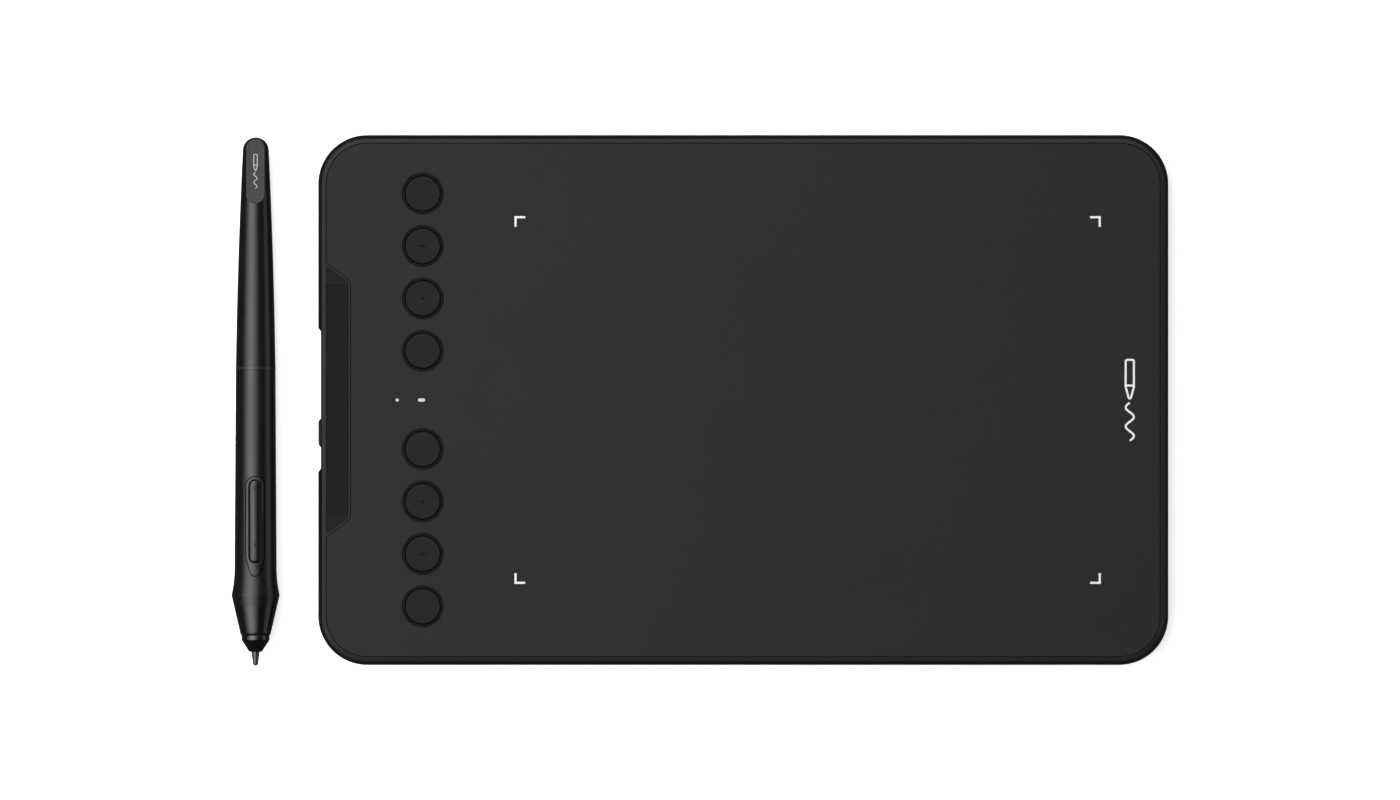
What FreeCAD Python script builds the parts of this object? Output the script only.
import FreeCAD, Part
import math
import os

# A pen drawing tablet and its battery-free pen, lying side by side on a desk.
# Millimetres, +Z up. The origin is on the desk, in the middle of the pair's footprint.
# +X runs from the pen across the tablet, +Y away from the user.

# ---------------------------------------------------------------- tablet: driving dimensions
TABLET_L = 258.6  # along X
TABLET_W = 161.2  # along Y
CORNER_R = 14.9

PEN_OFFSET = 148.3  # from the tablet's centre to the pen's axis
FLARE_R = 7.31  # the pen's largest radius
TABLET_X = (PEN_OFFSET + FLARE_R - TABLET_L / 2) / 2
PEN_X = TABLET_X - PEN_OFFSET
HALF_L = TABLET_L / 2
HALF_W = TABLET_W / 2

# levels
Z_BASE = 0.7  # underside of the bottom cover
Z_FLOOR = 2.1  # inside floor
Z_SEAT = 7.0  # the top cover sits here
Z_SHOULDER = 7.7  # top of the bottom cover's edge
Z_POCKET = 8.4  # floor of the sheet's pocket
Z_TOP = 8.95  # top of the sheet and of the cover's rim

# edge, as distances in from the outline
BULGE_R = 4.64  # the side wall leans in towards the top along this radius
BULGE_Z = 4.7  # it starts to lean in here
BULGE_STEPS = 6
BELLY_R = 3.6
SEAT_INSET = 1.15
COVER_INSET = 1.22
BEVEL_INSET = 2.3
POCKET_INSET = 2.4
SHEET_GAP = 0.25
SHEET_INSET = POCKET_INSET + SHEET_GAP
WALL = 1.9
BEVEL_DROP = 0.7
Z_GROOVE = 7.8  # floor of the groove round the sheet

# textured strip at the left edge, and the notch that the sheet leaves for it
NOTCH_X = -119.3
NOTCH_OUTER_Y = 41.6
NOTCH_INNER_Y = 36.2
STRIP_WALL = 0.4
STRIP_DROP_OUTER = 0.62  # the strip's corners lie this much inside the notch's, along Y
STRIP_DROP_INNER = 0.33
Z_STRIP = 8.5

# shortcut keys
KEY_X = -97.4
KEY_PITCH = 15.94
KEY_FIRST_Y = 14.93
KEY_R = 5.3
KEY_HOLE_R = 5.65
COLLAR_R = 5.98
SHEET_HOLE_R = 6.36
Z_MOAT = 7.6  # floor of the moat between a key's collar and the sheet
KEY_FLANGE_R = 6.5
KEY_TRAVEL = 0.6
Z_KEY = 8.85
Z_COLLAR = 8.78
KEY_MARK_H = 0.12

# light windows
LIGHT_DOT_X = -105.2
LIGHT_BAR_X = -97.8
LIGHT_DOT_R = 0.48
LIGHT_BAR_L = 2.1
LIGHT_BAR_W = 1.0
LIGHT_CLEARANCE = 0.05

# side bay with the USB-C receptacle and the power button
BAY_HALF = 21.9
BAY_DEPTH = 0.86
BAY_WALL_X = -126.4
USB_Y = 10.0
USB_W = 8.94
USB_H = 3.2
USB_L = 7.3
USB_Z = 4.5
USB_SHELL_T = 0.3
POWER_Y = -10.0
POWER_L = 9.1
POWER_H = 2.6
POWER_Z = 4.6
POWER_PROUD = 0.8
POWER_SLOPE = 0.9  # the button's ends slope back by this much
POWER_TRAVEL = 0.4
POWER_STEM_X = BAY_WALL_X + 1.05
WALL_CLEARANCE = 0.15

# feet and the screws above them
FOOT_X = 100.0
FOOT_Y = 71.0
FOOT_L = 40.0
FOOT_W = 8.0
FOOT_T = 1.4
SCREW_SPREAD = 16.0
BOSS_R = 2.4
BOSS_Z = 4.5
SCREW_R = 1.0
SCREW_HEAD_R = 1.85

# boards
BOARD_X0 = -124.9
BOARD_X1 = -86.0
BOARD_HALF_W = 66.0
BOARD_Z = 3.2
BOARD_T = 1.0
BOARD_TOP = BOARD_Z + BOARD_T
SENSOR_X0 = -84.0
SENSOR_X1 = 122.0
SENSOR_HALF_W = 67.0
SENSOR_T = 0.8
SENSOR_Z = Z_SEAT - SENSOR_T
SHIELD_T = 0.3
SHIELD_INSET = 2.0
SHIELD_X0 = -76.0
RIB_TOP = 5.8
STANDOFFS = [(-121.5, 45.0), (-121.5, -45.0), (-89.0, 55.0), (-89.0, -55.0)]
STANDOFF_R = 2.2
BOARD_SCREW_R = 0.7
RIB_XS = (20, 54, 88)
RIB_YS = (-56, -26, 26, 56)
KEY_SWITCH_HALF = 2.25
KEY_SWITCH_H = 0.95
SHIELD_CAN_MID = (-113.0, -21.5)
SHIELD_CAN_SIZE = (12.0, 11.0, 1.35)
SHIELD_CAN_T = 0.2
RIBBON_Y = 30.0
RIBBON_W = 12.0
RIBBON_T = 0.12
RIBBON_SOCKET_L = 3.8
RIBBON_SOCKET_H = 1.3
RIBBON_SOCKET_HALF_W = 7.0
LOWER_SOCKET_X = -90.4
UPPER_SOCKET_X = -83.2
# middle x, middle y, length, width, height: controller, radio, charger, memory, crystal
CHIPS = [
    (-112.0, 20.0, 7.0, 7.0, 0.9),
    (-113.0, -21.5, 5.0, 5.0, 0.8),
    (-118.0, 30.0, 3.0, 3.0, 0.8),
    (-112.0, 31.0, 5.0, 4.0, 0.9),
    (-117.5, 22.0, 2.0, 2.5, 0.7),
]

BATTERY_X0 = -70.0
BATTERY_X1 = -8.0
BATTERY_HALF_W = 22.0
BATTERY_T = 3.0
TAPE_T = 0.3
PLUG_BACK_X = -85.6
WIRE_R = 0.45

# ---------------------------------------------------------------- pen: driving dimensions
# The pen is drawn along Y, tail at +Y, with its button up (+Z), then laid down on the desk.
TAIL_Y = 79.9
TAIL_R = 3.95
TAIL_ROUND_Y = TAIL_Y - TAIL_R  # the tail ends in half a ball
JOINT_Y0 = 9.1
JOINT_Y1 = 10.2
JOINT_R = 6.04
REAR_MID = (5.38, 39.5)
GRIP_END = (6.40, -51.7)
FLARE_MID = (6.72, -55.9)
FLARE_Y = -59.3
CONE_SLOPE = 0.232
GRIP_TIP_Y = -62.7
NOSE_END_Y = -71.1
NOSE_LIP_Y = -71.6
NOSE_LIP_R = 4.3
RING_END_Y = -73.1
RING_R = 4.25
TIP_END_Y = -76.6
TIP_END_R = 1.9
NIB_END_Y = -80.8
NIB_R = 1.2
NIB_POINT_R = 0.78
NIB_BALL_R = 0.82
NIB_TAIL_Y = -57.0
NIB_BORE_R = 1.35
NIB_TRAVEL = 0.6

PEN_WALL = 1.7
GRIP_BORE_R = 4.4
PEN_JOINT_GAP = 0.04
NOSE_BORE_R = 3.05
SPIGOT_L = 3.0
SPIGOT_BORE_R = 3.6
TIP_SHOULDER_R = 4.12
PEN_TILT = 1.05  # degrees: it rests on its flare and on the belly of the rear barrel

BUTTON_Y0 = -23.4  # the bezel's tail end
BEZEL_HALF = 2.78
BEZEL_STRAIGHT_Y = -47.8
BEZEL_END_Y = -53.6
BEZEL_END_HALF = 1.17
BEZEL_END_R = 1.4
BEZEL_GAP = 0.2
BEZEL_PROUD = 0.12
BEZEL_T = 1.2
ROCKER_Y = -37.0
ROCKER_L = 25.0
ROCKER_HALF = 1.85
ROCKER_PROUD = 0.75
ROCKER_GAP = 0.22
ROCKER_BASE_Z = 4.5
PIN_R = 0.4
PIN_Z = 5.15
PIN_L = 5.1
SWITCH_SPREAD = 8.0

INLAY_HALF = 2.78
INLAY_Y0 = 59.7
INLAY_Y1 = 79.3
INLAY_T = 0.9
INLAY_TAIL_Z = 2.8
INLAY_SLOPE = 0.062

PEN_BOARD_HALF = 4.0
PEN_BOARD_T = 0.8
PEN_BOARD_Y0 = -49.2
PEN_BOARD_Y1 = 4.0

SLIM = 0.02  # assembly clearance inside one body


# ---------------------------------------------------------------- drawing helpers
def vec(x, y, z=0.0):
    return FreeCAD.Vector(x, y, z)


def rounded_outline(points, radii):
    """A closed wire in the XY plane through the corners, each rounded by its radius."""
    starts = []
    ends = []
    mids = []
    count = len(points)
    for i, (x, y) in enumerate(points):
        corner = vec(x, y)
        to_prev = vec(*points[i - 1]) - corner
        to_next = vec(*points[(i + 1) % count]) - corner
        to_prev.normalize()
        to_next.normalize()
        half = to_prev.getAngle(to_next) / 2
        reach = radii[i] / math.tan(half)
        bisector = to_prev + to_next
        bisector.normalize()
        starts.append(corner + to_prev * reach)
        ends.append(corner + to_next * reach)
        mids.append(corner + bisector * (radii[i] / math.sin(half) - radii[i]))
    edges = []
    for i in range(count):
        if radii[i] > 0:
            edges.append(Part.Arc(starts[i], mids[i], ends[i]).toShape())
        run_end = starts[(i + 1) % count]
        if (run_end - ends[i]).Length > 1e-6:
            edges.append(Part.makeLine(ends[i], run_end))
    return Part.Wire(edges)


def prism(wire, z0, z1):
    """The solid above a flat closed wire, from z0 to z1."""
    face = Part.Face(wire)
    face.translate(vec(0, 0, z0))
    return face.extrude(vec(0, 0, z1 - z0))


def block(x0, x1, y0, y1, z0, z1):
    return Part.makeBox(x1 - x0, y1 - y0, z1 - z0, vec(x0, y0, z0))


def post(x, y, r, z0, z1):
    return Part.makeCylinder(r, z1 - z0, vec(x, y, z0))


def ring(x, y, outer_r, inner_r, z0, z1):
    return post(x, y, outer_r, z0, z1).cut(post(x, y, inner_r, z0 - 1, z1 + 1))


def fuse_all(shapes):
    return shapes[0].multiFuse(shapes[1:]).removeSplitter()


def edges_at(shape, z, tol=1e-3):
    """The edges that lie wholly at one height."""
    return [
        edge for edge in shape.Edges
        if abs(edge.BoundBox.ZMin - z) < tol and abs(edge.BoundBox.ZMax - z) < tol
    ]


def round_at(shape, z, radius):
    """Rounds every edge at one height."""
    return shape.makeFillet(radius, edges_at(shape, z))


def rect_outline(x0, x1, y0, y1, radius):
    points = [(x0, y0), (x1, y0), (x1, y1), (x0, y1)]
    return rounded_outline(points, [radius] * 4)


def tablet_outline(inset):
    """The tablet's outline, moved inwards."""
    half_l = HALF_L - inset
    half_w = HALF_W - inset
    return rect_outline(-half_l, half_l, -half_w, half_w, CORNER_R - inset)


def side_prism(y, z, length, height, radius, x0, x1):
    """A rounded bar along X, as long as length in Y and height in Z."""
    wire = rect_outline(-length / 2, length / 2, -height / 2, height / 2, radius)
    shape = prism(wire, 0, x1 - x0)
    turn = FreeCAD.Rotation(vec(0, 1, 0), vec(0, 0, 1), vec(1, 0, 0), "ZXY")
    shape.Placement = FreeCAD.Placement(vec(x0, y, z), turn)
    return shape


def key_places():
    """The eight keys' Y, from the far end to the near end."""
    far = [KEY_FIRST_Y + i * KEY_PITCH for i in range(4)]
    return list(reversed(far)) + [-y for y in far]


def screw_places():
    """Two screws above each foot."""
    return [
        (side_x * FOOT_X + step, side_y * FOOT_Y)
        for side_x in (-1, 1)
        for side_y in (-1, 1)
        for step in (-SCREW_SPREAD, SCREW_SPREAD)
    ]


# ---------------------------------------------------------------- tablet: housing
def bottom_cover():
    shell = round_at(prism(tablet_outline(0), Z_BASE, BULGE_Z), Z_BASE, BELLY_R)
    shell = fuse_all([shell, bulge()])
    cavity = round_at(prism(tablet_outline(WALL), Z_FLOOR, Z_TOP), Z_FLOOR, WALL)
    bay_backing = block(-HALF_L, BAY_WALL_X, -BAY_HALF - WALL, BAY_HALF + WALL, 0, Z_TOP)
    shell = shell.cut(cavity.cut(bay_backing))
    shell = shell.cut(prism(tablet_outline(SEAT_INSET), Z_SEAT, Z_TOP))
    shell = shell.cut(side_bay())
    inside = [screw_pillar(x, y) for x, y in screw_places()]
    inside += [post(x, y, STANDOFF_R, Z_FLOOR - SLIM, BOARD_Z) for x, y in STANDOFFS]
    inside += floor_ribs()
    shell = fuse_all([shell] + inside)
    holes = [foot_outline_prism(x, y, 0, FOOT_T, 0.1) for x, y in foot_places()]
    for x, y in screw_places():
        holes.append(post(x, y, SCREW_HEAD_R + 0.15, FOOT_T - 0.1, 2.7))
        holes.append(post(x, y, SCREW_R + WALL_CLEARANCE, 2.6, BOSS_Z + 1))
    holes += [post(x, y, BOARD_SCREW_R + SLIM, Z_FLOOR + 0.1, BOARD_Z + 1) for x, y in STANDOFFS]
    holes.append(label_recess())
    return shell.cut(Part.makeCompound(holes))


def bulge():
    """The upper side wall, which leans in towards the parting line along an arc."""
    outlines = []
    for i in range(BULGE_STEPS + 1):
        rise = (Z_SHOULDER - BULGE_Z) * i / BULGE_STEPS
        wire = tablet_outline(BULGE_R - math.sqrt(BULGE_R ** 2 - rise ** 2))
        wire.translate(vec(0, 0, BULGE_Z + rise))
        outlines.append(wire)
    return Part.makeLoft(outlines, True, True)


def side_bay():
    """The shallow bay in the left wall, with the openings for the receptacle and the button."""
    slope = 1.05
    floor_x = -HALF_L + BAY_DEPTH
    outside_x = -HALF_L - BAY_DEPTH
    points = [
        (outside_x, -BAY_HALF - slope),
        (floor_x, -BAY_HALF + slope),
        (floor_x, BAY_HALF - slope),
        (outside_x, BAY_HALF + slope),
    ]
    bay = prism(rounded_outline(points, [0, 0.3, 0.3, 0]), -1, Z_TOP)
    port = side_prism(USB_Y, USB_Z, USB_W + 0.3, USB_H + 0.3, 1.7, -HALF_L, BAY_WALL_X + 1)
    button = side_prism(
        POWER_Y, POWER_Z, POWER_L + 0.3, POWER_H + 0.3, 1.2, -HALF_L, BAY_WALL_X + 1
    )
    return Part.makeCompound([bay, port, button])


def screw_pillar(x, y):
    return post(x, y, BOSS_R + 0.8, Z_FLOOR - SLIM, BOSS_Z)


def floor_ribs():
    """Ribs that hold up the sensor board, left open round the battery."""
    rib = 0.5
    reach_y = SENSOR_HALF_W - 1
    bars = [block(x - rib, x + rib, -reach_y, reach_y, Z_FLOOR - SLIM, RIB_TOP)
            for x in RIB_XS]
    bars += [block(-74, SENSOR_X1 - 3, y - rib, y + rib, Z_FLOOR - SLIM, RIB_TOP)
             for y in RIB_YS]
    rib_x = BATTERY_X1 + 2
    bars.append(block(rib_x, rib_x + 2 * rib, RIB_YS[1], RIB_YS[2], Z_FLOOR - SLIM, RIB_TOP))
    return bars


def foot_places():
    return [(-FOOT_X, FOOT_Y), (FOOT_X, FOOT_Y), (-FOOT_X, -FOOT_Y), (FOOT_X, -FOOT_Y)]


def foot_outline_prism(x, y, z0, z1, grow):
    half_l = FOOT_L / 2 + grow
    half_w = FOOT_W / 2 + grow
    wire = rect_outline(x - half_l, x + half_l, y - half_w, y + half_w, half_w - 0.01)
    return prism(wire, z0, z1)


def rubber_foot(x, y):
    foot = foot_outline_prism(x, y, 0, FOOT_T - SLIM, 0)
    return round_at(foot, 0, 0.4)


def label_recess():
    return prism(rect_outline(-30, 30, -14, 14, 3), 0, Z_BASE + 0.2)


def sheet_outline(grow):
    """The sheet's outline: a rounded rectangle, notched at the left round the strip."""
    x = HALF_L - SHEET_INSET + grow
    y = HALF_W - SHEET_INSET + grow
    radius = CORNER_R - SHEET_INSET + grow
    notch_x = NOTCH_X - grow
    slant = math.atan2(NOTCH_OUTER_Y - NOTCH_INNER_Y, NOTCH_X + HALF_L - SHEET_INSET)
    drop = grow * (1 - math.sin(slant)) / math.cos(slant)  # keeps the slanted sides parallel
    outer_y = NOTCH_OUTER_Y - drop
    inner_y = NOTCH_INNER_Y - drop
    points = [
        (-x, -y), (x, -y), (x, y), (-x, y),
        (-x, outer_y), (notch_x, inner_y), (notch_x, -inner_y), (-x, -outer_y),
    ]
    radii = [radius] * 4 + [0.8, 1.6, 1.6, 0.8]
    return rounded_outline(points, radii)


def strip_outline():
    """The textured strip, a ridge's width inside the notch."""
    x0 = -HALF_L + POCKET_INSET
    x1 = NOTCH_X - SHEET_GAP - STRIP_WALL
    outer_y = NOTCH_OUTER_Y - STRIP_DROP_OUTER
    inner_y = NOTCH_INNER_Y - STRIP_DROP_INNER
    points = [(x0, -outer_y), (x1, -inner_y), (x1, inner_y), (x0, outer_y)]
    return rounded_outline(points, [0.4, 1.3, 1.3, 0.4])


def light_bar_outline(grow):
    half_l = LIGHT_BAR_L / 2 + grow
    half_w = LIGHT_BAR_W / 2 + grow
    x = LIGHT_BAR_X
    return rect_outline(x - half_l, x + half_l, -half_w, half_w, half_w * 0.8)


def light_holes(z0, z1):
    dot = post(LIGHT_DOT_X, 0, LIGHT_DOT_R + LIGHT_CLEARANCE, z0, z1)
    return [dot, prism(light_bar_outline(LIGHT_CLEARANCE), z0, z1)]


def surface_sheet():
    sheet = prism(sheet_outline(0), Z_POCKET, Z_TOP)
    holes = [post(KEY_X, y, SHEET_HOLE_R, Z_POCKET - 1, Z_TOP + 1) for y in key_places()]
    holes += light_holes(Z_POCKET - 1, Z_TOP + 1)
    sheet = sheet.cut(Part.makeCompound(holes))
    rim = [edge for edge in edges_at(sheet, Z_TOP) if edge.BoundBox.XMin < -110
           or edge.BoundBox.XMax > 110 or abs(edge.BoundBox.YMin) > 70
           or abs(edge.Length - 2 * math.pi * SHEET_HOLE_R) < 0.1]
    return sheet.makeFillet(0.15, rim)


def top_cover():
    cover = prism(tablet_outline(COVER_INSET), Z_SEAT, Z_TOP)
    cover = bevel_rim(cover)
    cover = cover.cut(prism(sheet_outline(SHEET_GAP), Z_POCKET, Z_TOP + 1))
    cover = cover.cut(prism(strip_outline(), Z_STRIP, Z_TOP + 1))
    under = [post(x, y, BOSS_R, BOSS_Z, Z_SEAT + SLIM) for x, y in screw_places()]
    under.append(locating_lip())
    collars = [ring(KEY_X, y, COLLAR_R, KEY_HOLE_R, Z_POCKET - SLIM, Z_COLLAR)
               for y in key_places()]
    collars = [round_at(collar, Z_COLLAR, 0.12) for collar in collars]
    cover = fuse_all([cover] + under + collars)
    groove = prism(sheet_outline(SHEET_GAP), Z_GROOVE, Z_TOP + 1)
    cover = cover.cut(groove.cut(prism(sheet_outline(0), Z_GROOVE - 1, Z_TOP + 2)))
    holes = [post(KEY_X, y, KEY_HOLE_R, Z_SEAT - 1, Z_TOP + 1) for y in key_places()]
    holes += [ring(KEY_X, y, SHEET_HOLE_R, COLLAR_R, Z_MOAT, Z_POCKET + SLIM)
              for y in key_places()]
    holes += [post(x, y, SCREW_R + SLIM, BOSS_Z - 1, Z_SEAT + 0.5) for x, y in screw_places()]
    holes += light_holes(Z_SEAT - 1, Z_TOP + 1)
    return cover.cut(Part.makeCompound(holes))


def bevel_rim(cover):
    """Slopes the cover's outer edge from the parting line up to the rim."""
    outer = Part.Face(tablet_outline(COVER_INSET))
    outer.translate(vec(0, 0, Z_TOP - BEVEL_DROP))
    inner = Part.Face(tablet_outline(BEVEL_INSET))
    inner.translate(vec(0, 0, Z_TOP))
    slope = Part.makeLoft([outer.OuterWire, inner.OuterWire], True, True)
    lower = prism(tablet_outline(COVER_INSET), Z_SEAT, Z_TOP - BEVEL_DROP)
    return lower.fuse(slope).removeSplitter()


def locating_lip():
    """A lip under the cover that drops inside the bottom cover's wall."""
    lip = prism(tablet_outline(WALL + 0.1), Z_SEAT - 1, Z_SEAT + SLIM)
    lip = lip.cut(prism(tablet_outline(WALL + 1.1), Z_SEAT - 2, Z_SEAT + 1))
    reach = BAY_HALF + WALL + 1
    return lip.cut(block(-HALF_L, BAY_WALL_X + 2, -reach, reach, 0, Z_TOP))


# ---------------------------------------------------------------- tablet: keys, lights, button
def shortcut_key(index, y):
    cap = round_at(post(KEY_X, y, KEY_R, Z_SEAT - 0.2, Z_KEY), Z_KEY, 0.35)
    flange = post(KEY_X, y, KEY_FLANGE_R, Z_SEAT - 0.65, Z_SEAT - 0.12)
    stem = post(KEY_X, y, 1.5, Z_SEAT - 0.85, Z_SEAT - 0.6)
    key = fuse_all([cap, flange, stem])
    if index in (1, 6):
        half_l = 0.75
        half_w = 0.2
        bar = rect_outline(KEY_X - half_l, KEY_X + half_l, y - half_w, y + half_w, 0.19)
        mark = prism(bar, Z_KEY - SLIM, Z_KEY + KEY_MARK_H)
        key = key.fuse(round_at(mark, Z_KEY + KEY_MARK_H, 0.08))
    if index in (2, 5):
        mark = post(KEY_X, y, 0.3, Z_KEY - SLIM, Z_KEY + KEY_MARK_H)
        key = key.fuse(round_at(mark, Z_KEY + KEY_MARK_H, 0.08))
    return key


def light_pipe(tip):
    """A clear pipe whose top is flush with the sheet, with a flange under the cover."""
    x = (tip.BoundBox.XMin + tip.BoundBox.XMax) / 2
    flange = post(x, 0, 1.7, Z_SEAT - 0.7, Z_SEAT - SLIM)
    return fuse_all([tip, flange])


def light_pipe_dot():
    return light_pipe(post(LIGHT_DOT_X, 0, LIGHT_DOT_R, BOARD_TOP + 0.9, Z_TOP - 0.03))


def light_pipe_bar():
    return light_pipe(prism(light_bar_outline(0), BOARD_TOP + 0.9, Z_TOP - 0.03))


def power_button():
    face_x = -HALF_L + BAY_DEPTH - POWER_PROUD
    cap = side_prism(POWER_Y, POWER_Z, POWER_L, POWER_H, 1.1, face_x, BAY_WALL_X + 0.3)
    front = [edge for edge in cap.Edges if edge.BoundBox.XMax < face_x + 1e-3]
    cap = cap.makeFillet(0.45, front)
    half = POWER_L / 2
    slope_x = face_x + POWER_SLOPE
    points = [
        (face_x, POWER_Y - half + POWER_SLOPE), (face_x, POWER_Y + half - POWER_SLOPE),
        (slope_x, POWER_Y + half), (BAY_WALL_X + 1, POWER_Y + half),
        (BAY_WALL_X + 1, POWER_Y - half), (slope_x, POWER_Y - half),
    ]
    cap = cap.common(prism(rounded_outline(points, [0.5, 0.5, 0.3, 0, 0, 0.3]), 0, Z_TOP))
    flange = side_prism(
        POWER_Y, POWER_Z, POWER_L + 1.4, POWER_H + 0.9, 1.2, BAY_WALL_X + 0.1, BAY_WALL_X + 0.7
    )
    stem = side_prism(POWER_Y, POWER_Z + 0.4, 2.4, 1.2, 0.3, BAY_WALL_X + 0.6, POWER_STEM_X)
    return fuse_all([cap, flange, stem])


def power_switch():
    """The switch behind the button; its plunger stays clear of the stem at full travel."""
    plunger_x = POWER_STEM_X + POWER_TRAVEL + 0.1
    body_x = plunger_x + 0.55
    body = block(body_x, body_x + 2.8, POWER_Y - 2.2, POWER_Y + 2.2, BOARD_TOP, BOARD_TOP + 1.8)
    plunger = block(
        plunger_x, body_x + 0.1, POWER_Y - 0.9, POWER_Y + 0.9, BOARD_TOP + 0.4, BOARD_TOP + 1.3
    )
    return fuse_all([body, plunger])


# ---------------------------------------------------------------- tablet: receptacle
def usb_bar(shrink, x0, x1):
    width = USB_W - 2 * shrink
    height = USB_H - 2 * shrink
    return side_prism(USB_Y, USB_Z, width, height, 1.5 - shrink, x0, x1)


def usb_mouth_x():
    return -HALF_L + BAY_DEPTH + 0.05


def usb_c_shell():
    mouth = usb_mouth_x()
    outer = usb_bar(0, mouth, mouth + USB_L)
    return outer.cut(usb_bar(USB_SHELL_T, mouth - 1, mouth + USB_L - 0.5))


def usb_c_tongue():
    mouth = usb_mouth_x()
    back = usb_bar(USB_SHELL_T + SLIM, mouth + USB_L - 1.6, mouth + USB_L - 0.52)
    tongue = side_prism(USB_Y, USB_Z, 6.6, 0.7, 0.2, mouth + 0.9, mouth + USB_L - 1.5)
    return fuse_all([back, tongue])


# ---------------------------------------------------------------- tablet: electronics
def control_board():
    wire = rect_outline(BOARD_X0, BOARD_X1, -BOARD_HALF_W, BOARD_HALF_W, 1.5)
    board = prism(wire, BOARD_Z, BOARD_TOP)
    notch = block(BOARD_X0 - 1, -120.9, USB_Y - 4.7, USB_Y + 4.7, 0, Z_SEAT)
    holes = [post(x, y, BOARD_SCREW_R + 0.15, 0, Z_SEAT) for x, y in STANDOFFS]
    return board.cut(Part.makeCompound([notch] + holes))


def key_switch_bodies():
    half = KEY_SWITCH_HALF
    top = BOARD_TOP + KEY_SWITCH_H
    return Part.makeCompound([
        block(KEY_X - half, KEY_X + half, y - half, y + half, BOARD_TOP, top)
        for y in key_places()
    ])


def key_switch_plungers():
    top = Z_SEAT - 0.85 - KEY_TRAVEL - 0.05
    low = BOARD_TOP + KEY_SWITCH_H
    return Part.makeCompound([post(KEY_X, y, 1.1, low, top) for y in key_places()])


def led_chips():
    return Part.makeCompound([
        block(x - 0.8, x + 0.8, -0.4, 0.4, BOARD_TOP, BOARD_TOP + 0.6)
        for x in (LIGHT_DOT_X, LIGHT_BAR_X)
    ])


def rf_shield_can():
    x, y = SHIELD_CAN_MID
    length, width, height = SHIELD_CAN_SIZE
    half_l = length / 2
    half_w = width / 2
    top = BOARD_TOP + height
    can = round_at(block(x - half_l, x + half_l, y - half_w, y + half_w, BOARD_TOP, top), top, 0.3)
    half_l -= SHIELD_CAN_T
    half_w -= SHIELD_CAN_T
    return can.cut(block(x - half_l, x + half_l, y - half_w, y + half_w, 0, top - SHIELD_CAN_T))


def controller_chips():
    return Part.makeCompound([
        block(x - a / 2, x + a / 2, y - b / 2, y + b / 2, BOARD_TOP, BOARD_TOP + height)
        for x, y, a, b, height in CHIPS
    ])


def sensor_board():
    wire = rect_outline(SENSOR_X0, SENSOR_X1, -SENSOR_HALF_W, SENSOR_HALF_W, 2)
    return prism(wire, SENSOR_Z, Z_SEAT - SLIM)


def shield_plate():
    half_w = SENSOR_HALF_W - SHIELD_INSET
    wire = rect_outline(SHIELD_X0, SENSOR_X1 - SHIELD_INSET, -half_w, half_w, 2)
    return prism(wire, SENSOR_Z - SHIELD_T, SENSOR_Z)


def ribbon_socket(x0, z0, slot_x0, slot_x1, slot_z):
    """A socket with a slot for the ribbon at one side."""
    y0 = RIBBON_Y - RIBBON_SOCKET_HALF_W
    y1 = RIBBON_Y + RIBBON_SOCKET_HALF_W
    slot_half = RIBBON_W / 2 + 0.1
    body = block(x0, x0 + RIBBON_SOCKET_L, y0, y1, z0, z0 + RIBBON_SOCKET_H)
    return body.cut(block(slot_x0, slot_x1, RIBBON_Y - slot_half, RIBBON_Y + slot_half,
                          slot_z, slot_z + 0.3))


def ribbon_sockets():
    lower_end = LOWER_SOCKET_X + RIBBON_SOCKET_L
    lower = ribbon_socket(LOWER_SOCKET_X, BOARD_TOP, lower_end - 1, lower_end + 1, BOARD_TOP + 0.5)
    upper = ribbon_socket(UPPER_SOCKET_X, SENSOR_Z - RIBBON_SOCKET_H, UPPER_SOCKET_X - 1,
                          UPPER_SOCKET_X + 1, SENSOR_Z - 0.8)
    return Part.makeCompound([lower, upper])


def sensor_ribbon():
    """A flat flexible cable with an S bend between the two boards."""
    low = BOARD_TOP + 0.6
    high = SENSOR_Z - 0.7
    start_x = LOWER_SOCKET_X + RIBBON_SOCKET_L - 0.9
    end_x = UPPER_SOCKET_X + 0.9
    ends = [(start_x, low), (start_x + 1.5, low), (end_x - 1.5, high), (end_x, high)]

    def curve(lift):
        spline = Part.BSplineCurve()
        spline.buildFromPoles([vec(x, RIBBON_Y - RIBBON_W / 2, z + lift) for x, z in ends])
        return spline.toShape()

    under = curve(0)
    over = curve(RIBBON_T)
    sides = [
        Part.makeLine(under.firstVertex().Point, over.firstVertex().Point),
        Part.makeLine(under.lastVertex().Point, over.lastVertex().Point),
    ]
    face = Part.Face(Part.Wire(Part.__sortEdges__([under, over] + sides)))
    return face.extrude(vec(0, RIBBON_W, 0))


def battery_pouch():
    z0 = Z_FLOOR + TAPE_T
    wire = rect_outline(BATTERY_X0 + 3, BATTERY_X1, -BATTERY_HALF_W, BATTERY_HALF_W, 1.5)
    pouch = prism(wire, z0, z0 + BATTERY_T)
    pouch = round_at(pouch, z0 + BATTERY_T, 0.9)
    head = block(BATTERY_X0, BATTERY_X0 + 3.01, -BATTERY_HALF_W + 1, BATTERY_HALF_W - 1,
                 z0, z0 + BATTERY_T - 0.8)
    return fuse_all([pouch, head])


def battery_tape():
    return block(BATTERY_X0 + 4, BATTERY_X1 - 4, -18, 18, Z_FLOOR, Z_FLOOR + TAPE_T)


def battery_socket():
    body = block(-92.0, -88.2, 0.6, 5.4, BOARD_TOP, BOARD_TOP + 1.3)
    return body.cut(block(-90.8, -88.0, 1.2, 4.8, BOARD_TOP + 0.3, BOARD_TOP + 1.05))


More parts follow.
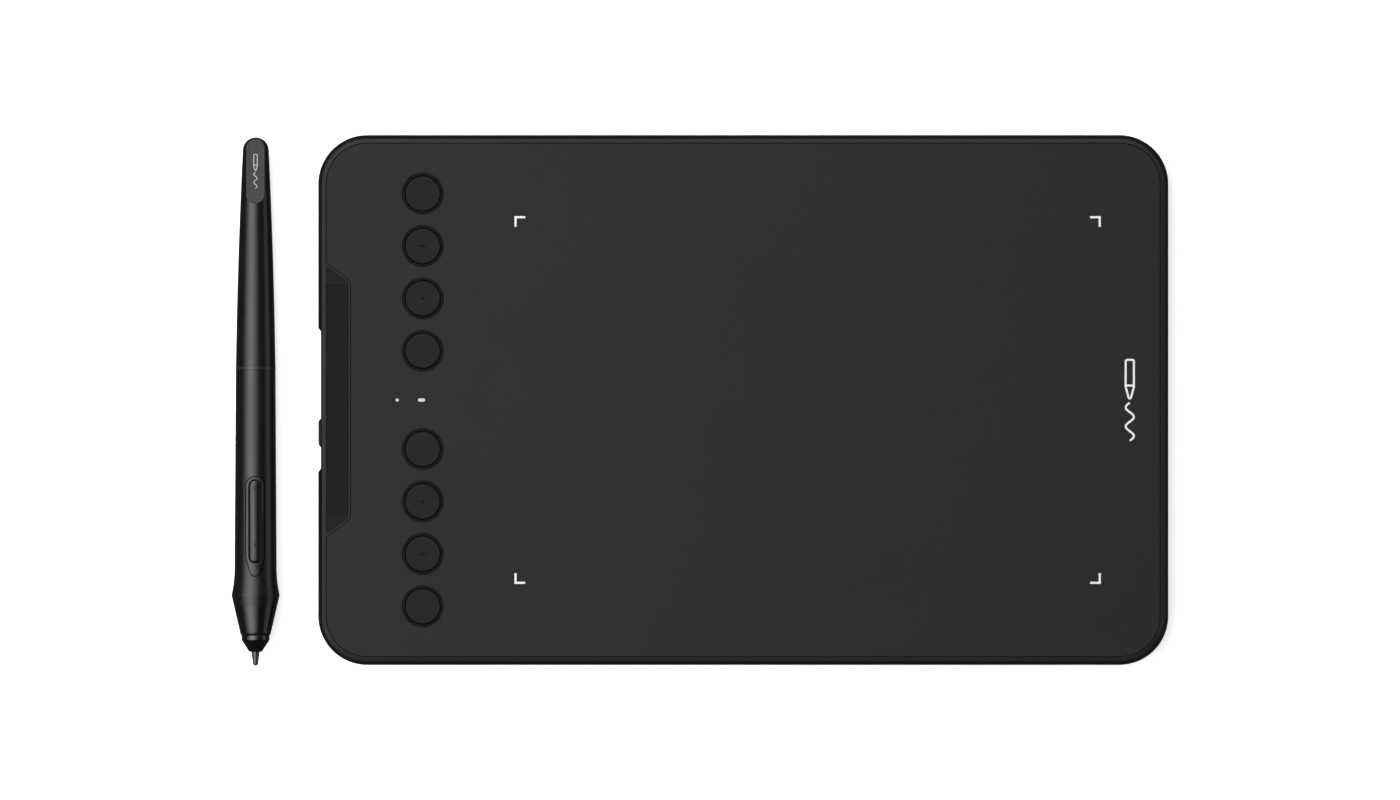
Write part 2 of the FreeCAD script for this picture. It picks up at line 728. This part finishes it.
def battery_plug():
    nose = block(-90.6, -88.1, 1.3, 4.7, BOARD_TOP + 0.35, BOARD_TOP + 1.0)
    body = block(-88.15, PLUG_BACK_X, 0.8, 5.2, BOARD_TOP + 0.05, BOARD_TOP + 1.3)
    return fuse_all([nose, body])


def wire_tube(points, radius):
    """A tube along straight runs joined by arcs as large as the runs allow."""
    edges = []
    at = points[0]
    for i in range(1, len(points) - 1):
        corner = points[i]
        back = points[i - 1] - corner
        onward = points[i + 1] - corner
        shorter = min(back.Length, onward.Length)
        back.normalize()
        onward.normalize()
        half = back.getAngle(onward) / 2
        reach = 0.45 * shorter
        bend = reach * math.tan(half)
        bisector = back + onward
        bisector.normalize()
        start = corner + back * reach
        end = corner + onward * reach
        middle = corner + bisector * (bend / math.sin(half) - bend)
        edges.append(Part.makeLine(at, start))
        edges.append(Part.Arc(start, middle, end).toShape())
        at = end
        print("wire bend radius %.2f mm" % bend)
    edges.append(Part.makeLine(at, points[-1]))
    path = Part.Wire(edges)
    section = Part.Wire(Part.makeCircle(radius, points[0], points[1] - points[0]))
    tube = path.makePipeShell([section], True, False)
    print("wire length %.1f mm, volume ratio %.3f"
          % (path.Length, tube.Volume / (math.pi * radius ** 2 * path.Length)))
    return tube


def battery_lead():
    """The battery's two wires, from the plug to the pouch."""
    plug_z = BOARD_TOP + 0.7
    cell_z = Z_FLOOR + TAPE_T + 1.1
    wires = []
    for y in (2.1, 3.9):
        route = [
            vec(PLUG_BACK_X, y, plug_z),
            vec(PLUG_BACK_X + 5.0, y, plug_z),
            vec(BATTERY_X0 - 5.2, y + 6.8, cell_z),
            vec(BATTERY_X0, y + 6.8, cell_z),
        ]
        wires.append(wire_tube(route, WIRE_R))
    return Part.makeCompound(wires)


# ---------------------------------------------------------------- tablet: screws
def screw(x, y, head_z, head_r, head_h, shank_r, tip_z, head_below):
    """A cross-head screw standing along Z; its head is below or above its shank."""
    direction = 1 if head_below else -1
    low = min(head_z, head_z + direction * head_h)
    head = post(x, y, head_r, low, low + head_h)
    outer_z = low if head_below else low + head_h
    head = head.makeFillet(0.25, edges_at(head, outer_z))
    shank = post(x, y, shank_r, min(low + head_h, tip_z), max(low, tip_z))
    depth = 0.6
    slot = 0.3
    reach = head_r * 0.6
    z0 = outer_z - depth
    cross = [
        block(x - reach, x + reach, y - slot / 2, y + slot / 2, z0, z0 + 2 * depth),
        block(x - slot / 2, x + slot / 2, y - reach, y + reach, z0, z0 + 2 * depth),
    ]
    return fuse_all([head, shank]).cut(fuse_all(cross))


def housing_screws():
    return Part.makeCompound([
        screw(x, y, 1.6, SCREW_HEAD_R, 1.1, SCREW_R, Z_SEAT + 0.4, True)
        for x, y in screw_places()
    ])


def board_screws():
    return Part.makeCompound([
        screw(x, y, BOARD_TOP + 0.8, 1.4, 0.8, BOARD_SCREW_R, Z_FLOOR + 0.2, False)
        for x, y in STANDOFFS
    ])


# ---------------------------------------------------------------- pen: profile
def cone_r(y):
    """Radius of the straight cone from the flare towards the tip."""
    return FLARE_R + 0.03 - CONE_SLOPE * (FLARE_Y - y)


def arc_r(first, middle, last, y):
    """Radius at y on the arc through three profile points, given as (radius, y)."""
    (r0, y0), (r1, y1), (r2, y2) = first, middle, last
    a = (y - y1) * (y - y2) / ((y0 - y1) * (y0 - y2))
    b = (y - y0) * (y - y2) / ((y1 - y0) * (y1 - y2))
    c = (y - y0) * (y - y1) / ((y2 - y0) * (y2 - y1))
    return a * r0 + b * r1 + c * r2


def rear_r(y):
    return arc_r((JOINT_R, JOINT_Y0), REAR_MID, (TAIL_R, TAIL_ROUND_Y), y)


def arc3(first, middle, last):
    points = [vec(r, y) for r, y in (first, middle, last)]
    return Part.Arc(*points).toShape()


def line2(first, last):
    return Part.makeLine(vec(*first), vec(*last))


def spin(edges):
    """A solid of revolution about Y from a closed half profile."""
    face = Part.Face(Part.Wire(edges))
    return face.revolve(vec(0, 0, 0), vec(0, 1, 0), 360)


def spin_points(points):
    count = len(points)
    return spin([line2(points[i], points[(i + 1) % count]) for i in range(count)])


def tube(outer_r, inner_r, y0, y1):
    return spin_points([(inner_r, y0), (outer_r, y0), (outer_r, y1), (inner_r, y1)])


def rear_profile(grow, y0):
    """Outer edges of the rear barrel from y0 to the tail, moved outwards by grow."""
    start = (rear_r(y0) + grow, y0)
    middle_y = (y0 + TAIL_ROUND_Y) / 2
    middle = (rear_r(middle_y) + grow, middle_y)
    shoulder = (TAIL_R + grow, TAIL_ROUND_Y)
    top = (0, TAIL_Y + grow)
    halfway = (TAIL_R + grow) * math.sqrt(0.5)
    quarter = (halfway, TAIL_ROUND_Y + halfway)
    return [arc3(start, middle, shoulder), arc3(shoulder, quarter, top)]


def rear_solid(grow, y0):
    edges = rear_profile(grow, y0)
    edges.append(line2((0, TAIL_Y + grow), (0, y0)))
    edges.append(line2((0, y0), (rear_r(y0) + grow, y0)))
    return spin(edges)


def inlay_prism(grow):
    """The tail inlay's outline, straight up through the barrel."""
    half = INLAY_HALF + grow
    y0 = INLAY_Y0 - grow
    y1 = INLAY_Y1 + grow
    points = [(-half, y0), (half, y0), (half, y1), (-half, y1)]
    return prism(rounded_outline(points, [half - 0.02] * 4), -FLARE_R, FLARE_R)


def inlay_halfspace(lift):
    """Everything above the inlay's sloping top, moved up by lift."""
    y0 = INLAY_Y0 - 5
    y1 = TAIL_Y + 5
    z_at = [INLAY_TAIL_Z + lift + INLAY_SLOPE * (INLAY_Y1 - y) for y in (y0, y1)]
    high = 2 * FLARE_R
    points = [vec(0, y0, z_at[0]), vec(0, y1, z_at[1]), vec(0, y1, high), vec(0, y0, high)]
    face = Part.Face(Part.makePolygon(points + points[:1]))
    slab = face.extrude(vec(2 * FLARE_R, 0, 0))
    slab.translate(vec(-FLARE_R, 0, 0))
    return slab


def pen_rear_barrel():
    outer = rear_solid(0, JOINT_Y1)
    bore_end = 56.0
    start_r = rear_r(JOINT_Y1) - PEN_WALL
    end_r = rear_r(bore_end) - PEN_WALL - 0.4
    bore = spin_points([(0, JOINT_Y1 - 1), (start_r, JOINT_Y1 - 1), (end_r, bore_end),
                        (0, bore_end + 2)])
    recess = inlay_prism(0.05).common(inlay_halfspace(-INLAY_T))
    return outer.cut(bore).cut(recess)


def pen_tail_inlay():
    plate = inlay_prism(0).common(rear_solid(0.04, JOINT_Y1))
    plate = plate.cut(inlay_halfspace(0))
    return plate.common(inlay_halfspace(-INLAY_T + SLIM))


def pen_joint_ring():
    """The ring at the joint, with a spigot that both barrels fit over."""
    band = tube(JOINT_R + 0.04, 3.0, JOINT_Y0 + 0.03, JOINT_Y1 - 0.03)
    band = band.makeFillet(0.12, [edge for edge in band.Edges
                                  if edge.BoundBox.XMax > JOINT_R])
    front_spigot = tube(GRIP_BORE_R - SLIM, 3.0, JOINT_Y0 - 3, JOINT_Y0 + 0.1)
    rear_spigot = tube(rear_r(16) - PEN_WALL - 0.15, 3.0, JOINT_Y1 - 0.1, JOINT_Y1 + 4)
    return fuse_all([band, front_spigot, rear_spigot])


def grip_solid(grow):
    """The front barrel's outside: a slim taper, a flare and a straight cone."""
    start = (JOINT_R + grow, JOINT_Y0)
    slim_end = (GRIP_END[0] + grow, GRIP_END[1])
    flare_mid = (FLARE_MID[0] + grow, FLARE_MID[1])
    crest_in = (FLARE_R - 0.06 + grow, FLARE_Y + 0.35)
    crest = (FLARE_R + grow, FLARE_Y - 0.1)
    crest_out = (cone_r(FLARE_Y - 0.6) + grow, FLARE_Y - 0.6)
    tip = (cone_r(GRIP_TIP_Y) + grow, GRIP_TIP_Y)
    return spin([
        line2(start, slim_end),
        arc3(slim_end, flare_mid, crest_in),
        arc3(crest_in, crest, crest_out),
        line2(crest_out, tip),
        line2(tip, (0, GRIP_TIP_Y)),
        line2((0, GRIP_TIP_Y), (0, JOINT_Y0)),
        line2((0, JOINT_Y0), start),
    ])


def pen_front_barrel():
    bore = tube(GRIP_BORE_R, 0, GRIP_TIP_Y - 1, JOINT_Y0 + 1)
    recess = bezel_prism(BEZEL_GAP).common(grip_solid(2).cut(grip_solid(-BEZEL_T - SLIM)))
    slot = rocker_prism(0.35, 3.0, 9.0)
    return grip_solid(0).cut(bore).cut(recess).cut(slot)


def bezel_prism(grow):
    """The teardrop outline of the button's bezel."""
    half = BEZEL_HALF + grow
    end_half = BEZEL_END_HALF + grow
    points = [
        (-half, BUTTON_Y0 + grow), (-half, BEZEL_STRAIGHT_Y),
        (-end_half, BEZEL_END_Y - grow), (end_half, BEZEL_END_Y - grow),
        (half, BEZEL_STRAIGHT_Y), (half, BUTTON_Y0 + grow),
    ]
    end_r = BEZEL_END_R + grow
    radii = [half - 0.02, 6.0, end_r, end_r, 6.0, half - 0.02]
    return prism(rounded_outline(points, radii), 0, 2 * FLARE_R)


def rocker_prism(grow, z0, z1):
    half = ROCKER_HALF + grow
    half_l = ROCKER_L / 2 + grow
    wire = rect_outline(-half, half, ROCKER_Y - half_l, ROCKER_Y + half_l, half - 0.02)
    return prism(wire, z0, z1)


def pen_button_bezel():
    plate = bezel_prism(0).common(grip_solid(BEZEL_PROUD).cut(grip_solid(-BEZEL_T)))
    plate = plate.cut(rocker_prism(ROCKER_GAP, 0, 2 * FLARE_R))
    return plate.cut(rocker_pin(0.02))


def rocker_pin(grow):
    start = vec(-PIN_L / 2 - grow, ROCKER_Y, PIN_Z)
    return Part.makeCylinder(PIN_R + grow, PIN_L + 2 * grow, start, vec(1, 0, 0))


def pen_rocker():
    """One-piece rocker: crowned top, a post over each switch and a bore for its pin."""
    crown = rocker_prism(0, ROCKER_BASE_Z, 2 * FLARE_R).common(grip_solid(ROCKER_PROUD))
    top_edges = [edge for edge in crown.Edges if edge.BoundBox.ZMin > PIN_Z + 0.6]
    crown = crown.makeFillet(0.4, top_edges)
    posts = [post(0, ROCKER_Y + side * SWITCH_SPREAD, 0.9, 2.86, ROCKER_BASE_Z + 0.1)
             for side in (-1, 1)]
    bore = Part.makeCylinder(PIN_R + 0.05, 8, vec(-4, ROCKER_Y, PIN_Z), vec(1, 0, 0))
    return fuse_all([crown] + posts).cut(bore)


def pen_nose_cone():
    """The cone in front of the grip, with a spigot that fits inside the grip's bore."""
    root_y = GRIP_TIP_Y - PEN_JOINT_GAP
    root_r = cone_r(GRIP_TIP_Y)
    end_r = cone_r(NOSE_END_Y)
    spigot_r = GRIP_BORE_R - SLIM
    spigot_y = GRIP_TIP_Y + SPIGOT_L
    narrow_y = NOSE_END_Y + 1.5
    return spin([
        line2((root_r, root_y), (end_r, NOSE_END_Y)),
        arc3((end_r, NOSE_END_Y), (NOSE_LIP_R + 0.14, NOSE_LIP_Y + 0.2),
             (NOSE_LIP_R, NOSE_LIP_Y)),
        line2((NOSE_LIP_R, NOSE_LIP_Y), (NOSE_BORE_R, NOSE_LIP_Y)),
        line2((NOSE_BORE_R, NOSE_LIP_Y), (NOSE_BORE_R, narrow_y)),
        line2((NOSE_BORE_R, narrow_y), (SPIGOT_BORE_R, root_y)),
        line2((SPIGOT_BORE_R, root_y), (SPIGOT_BORE_R, spigot_y)),
        line2((SPIGOT_BORE_R, spigot_y), (spigot_r, spigot_y)),
        line2((spigot_r, spigot_y), (spigot_r, root_y)),
        line2((spigot_r, root_y), (root_r, root_y)),
    ])


def pen_tip_ring():
    band = tube(RING_R, NOSE_BORE_R, RING_END_Y, NOSE_LIP_Y - 0.03)
    return band.makeFillet(0.15, [edge for edge in band.Edges
                                  if edge.BoundBox.XMax > RING_R - 0.01])


def pen_tip_cone():
    shoulder_y = RING_END_Y - 0.03
    spigot_y = NOSE_END_Y + 1.0
    spigot_r = NOSE_BORE_R - 0.05
    return spin([
        line2((NIB_BORE_R, spigot_y), (spigot_r, spigot_y)),
        line2((spigot_r, spigot_y), (spigot_r, shoulder_y)),
        line2((spigot_r, shoulder_y), (TIP_SHOULDER_R, shoulder_y)),
        line2((TIP_SHOULDER_R, shoulder_y), (TIP_END_R + 0.35, TIP_END_Y + 0.55)),
        arc3((TIP_END_R + 0.35, TIP_END_Y + 0.55), (TIP_END_R + 0.05, TIP_END_Y + 0.15),
             (TIP_END_R - 0.3, TIP_END_Y)),
        line2((TIP_END_R - 0.3, TIP_END_Y), (NIB_BORE_R, TIP_END_Y + 0.1)),
        line2((NIB_BORE_R, TIP_END_Y + 0.1), (NIB_BORE_R, spigot_y)),
    ])


def pen_nib():
    neck_y = TIP_END_Y - 0.2
    ball_y = NIB_END_Y + NIB_BALL_R
    point_y = ball_y - math.sqrt(NIB_BALL_R ** 2 - NIB_POINT_R ** 2)
    halfway = NIB_BALL_R * math.sqrt(0.5)
    return spin([
        line2((0, NIB_TAIL_Y), (NIB_R - 0.1, NIB_TAIL_Y)),
        line2((NIB_R - 0.1, NIB_TAIL_Y), (NIB_R, NIB_TAIL_Y - 0.3)),
        line2((NIB_R, NIB_TAIL_Y - 0.3), (NIB_R, neck_y)),
        line2((NIB_R, neck_y), (NIB_POINT_R, point_y)),
        arc3((NIB_POINT_R, point_y), (halfway, ball_y - halfway), (0, NIB_END_Y)),
        line2((0, NIB_END_Y), (0, NIB_TAIL_Y)),
    ])


# ---------------------------------------------------------------- pen: inside
def pen_nib_holder():
    """A cup that grips the nib's end and pushes on the pressure pad."""
    cup = tube(2.0, 0, NIB_TAIL_Y - 3.2, NIB_TAIL_Y + 2.5)
    return cup.cut(tube(NIB_R + SLIM, 0, NIB_TAIL_Y - 4, NIB_TAIL_Y + SLIM))


def pen_ferrite_core():
    return tube(2.15, NIB_BORE_R, NOSE_END_Y + 1.2, NIB_TAIL_Y - 4.0)


def pen_coil():
    """The winding round the core, as a wound sleeve with two flanges."""
    y0 = NOSE_END_Y + 2.0
    y1 = NIB_TAIL_Y - 5.0
    winding = tube(2.75, 2.15 + SLIM, y0, y1)
    flanges = [tube(2.95, 2.15 + SLIM, y, y + 0.4) for y in (y0, y1 - 0.4)]
    return fuse_all([winding] + flanges)


def pen_pressure_sensor():
    return tube(3.0, 0, -53.0, -49.6)


def pen_pressure_pad():
    """Silicone pad between the nib holder and the sensor, clear of the holder at rest."""
    gap = NIB_TRAVEL + 0.1
    return tube(1.3, 0, NIB_TAIL_Y + 2.5 + gap, -53.0 - SLIM)


def pen_carrier():
    """Half-round tray that holds the sensor and the circuit board."""
    tray = tube(GRIP_BORE_R - SLIM, 3.3, -55.5, PEN_BOARD_Y1 + 1)
    upper = block(-FLARE_R, FLARE_R, -60, 20, -SLIM, FLARE_R)
    collar = tube(GRIP_BORE_R - SLIM, 3.0 + SLIM, -53.0, -50.0)
    return fuse_all([tray.cut(upper), collar])


def pen_board():
    return block(-PEN_BOARD_HALF, PEN_BOARD_HALF, PEN_BOARD_Y0, PEN_BOARD_Y1, 0, PEN_BOARD_T)


def pen_switches():
    """Two button switches, each a body with a short plunger."""
    switches = []
    for side in (-1, 1):
        y = ROCKER_Y + side * SWITCH_SPREAD
        body = block(-1.75, 1.75, y - 1.5, y + 1.5, PEN_BOARD_T, PEN_BOARD_T + 1.2)
        switches.append(fuse_all([body, post(0, y, 0.8, PEN_BOARD_T + 1.1, 2.35)]))
    return Part.makeCompound(switches)


def pen_chip():
    return block(-2.0, 2.0, -18, -14, PEN_BOARD_T, PEN_BOARD_T + 0.9)


# ---------------------------------------------------------------- placing and saving
def lay_down(shape):
    """Lays a pen piece on the desk: tilted, resting on the flare and the rear barrel."""
    tilt = math.radians(PEN_TILT)
    rest_z = FLARE_R * math.cos(tilt) + FLARE_Y * math.sin(tilt)
    placed = shape.copy()
    turn = FreeCAD.Rotation(vec(1, 0, 0), -PEN_TILT)
    placed.Placement = FreeCAD.Placement(vec(PEN_X, 0, rest_z), turn)
    return placed


def set_down(shape):
    """Moves a tablet piece to the tablet's place."""
    placed = shape.copy()
    placed.translate(vec(TABLET_X, 0, 0))
    return placed


def save(name, shape):
    if not shape.isValid():
        print("INVALID", name)
    print("%-22s solids %3d  volume %10.2f" % (name, len(shape.Solids), shape.Volume))
    shape.exportStep("parts/%s.step" % name)


TABLET_PIECES = {
    "surface_sheet": surface_sheet,
    "top_cover": top_cover,
    "bottom_cover": bottom_cover,
    "light_pipe_dot": light_pipe_dot,
    "light_pipe_bar": light_pipe_bar,
    "power_button": power_button,
    "power_switch": power_switch,
    "usb_c_shell": usb_c_shell,
    "usb_c_tongue": usb_c_tongue,
    "control_board": control_board,
    "key_switch_bodies": key_switch_bodies,
    "key_switch_plungers": key_switch_plungers,
    "led_chips": led_chips,
    "rf_shield_can": rf_shield_can,
    "controller_chips": controller_chips,
    "sensor_board": sensor_board,
    "shield_plate": shield_plate,
    "ribbon_sockets": ribbon_sockets,
    "sensor_ribbon": sensor_ribbon,
    "battery_pouch": battery_pouch,
    "battery_tape": battery_tape,
    "battery_socket": battery_socket,
    "battery_plug": battery_plug,
    "battery_lead": battery_lead,
    "housing_screws": housing_screws,
    "board_screws": board_screws,
}

PEN_PIECES = {
    "pen_rear_barrel": pen_rear_barrel,
    "pen_tail_inlay": pen_tail_inlay,
    "pen_joint_ring": pen_joint_ring,
    "pen_front_barrel": pen_front_barrel,
    "pen_button_bezel": pen_button_bezel,
    "pen_rocker": pen_rocker,
    "pen_rocker_pin": lambda: rocker_pin(0),
    "pen_nose_cone": pen_nose_cone,
    "pen_tip_ring": pen_tip_ring,
    "pen_tip_cone": pen_tip_cone,
    "pen_nib": pen_nib,
    "pen_nib_holder": pen_nib_holder,
    "pen_ferrite_core": pen_ferrite_core,
    "pen_coil": pen_coil,
    "pen_pressure_sensor": pen_pressure_sensor,
    "pen_pressure_pad": pen_pressure_pad,
    "pen_carrier": pen_carrier,
    "pen_board": pen_board,
    "pen_switches": pen_switches,
    "pen_chip": pen_chip,
}


def main():
    os.makedirs("parts", exist_ok=True)
    for name, make in TABLET_PIECES.items():
        save(name, set_down(make()))
    for index, (x, y) in enumerate(foot_places()):
        save("rubber_foot_%d" % (index + 1), set_down(rubber_foot(x, y)))
    for index, y in enumerate(key_places()):
        save("shortcut_key_%d" % (index + 1), set_down(shortcut_key(index, y)))
    for name, make in PEN_PIECES.items():
        save(name, lay_down(make()))


main()
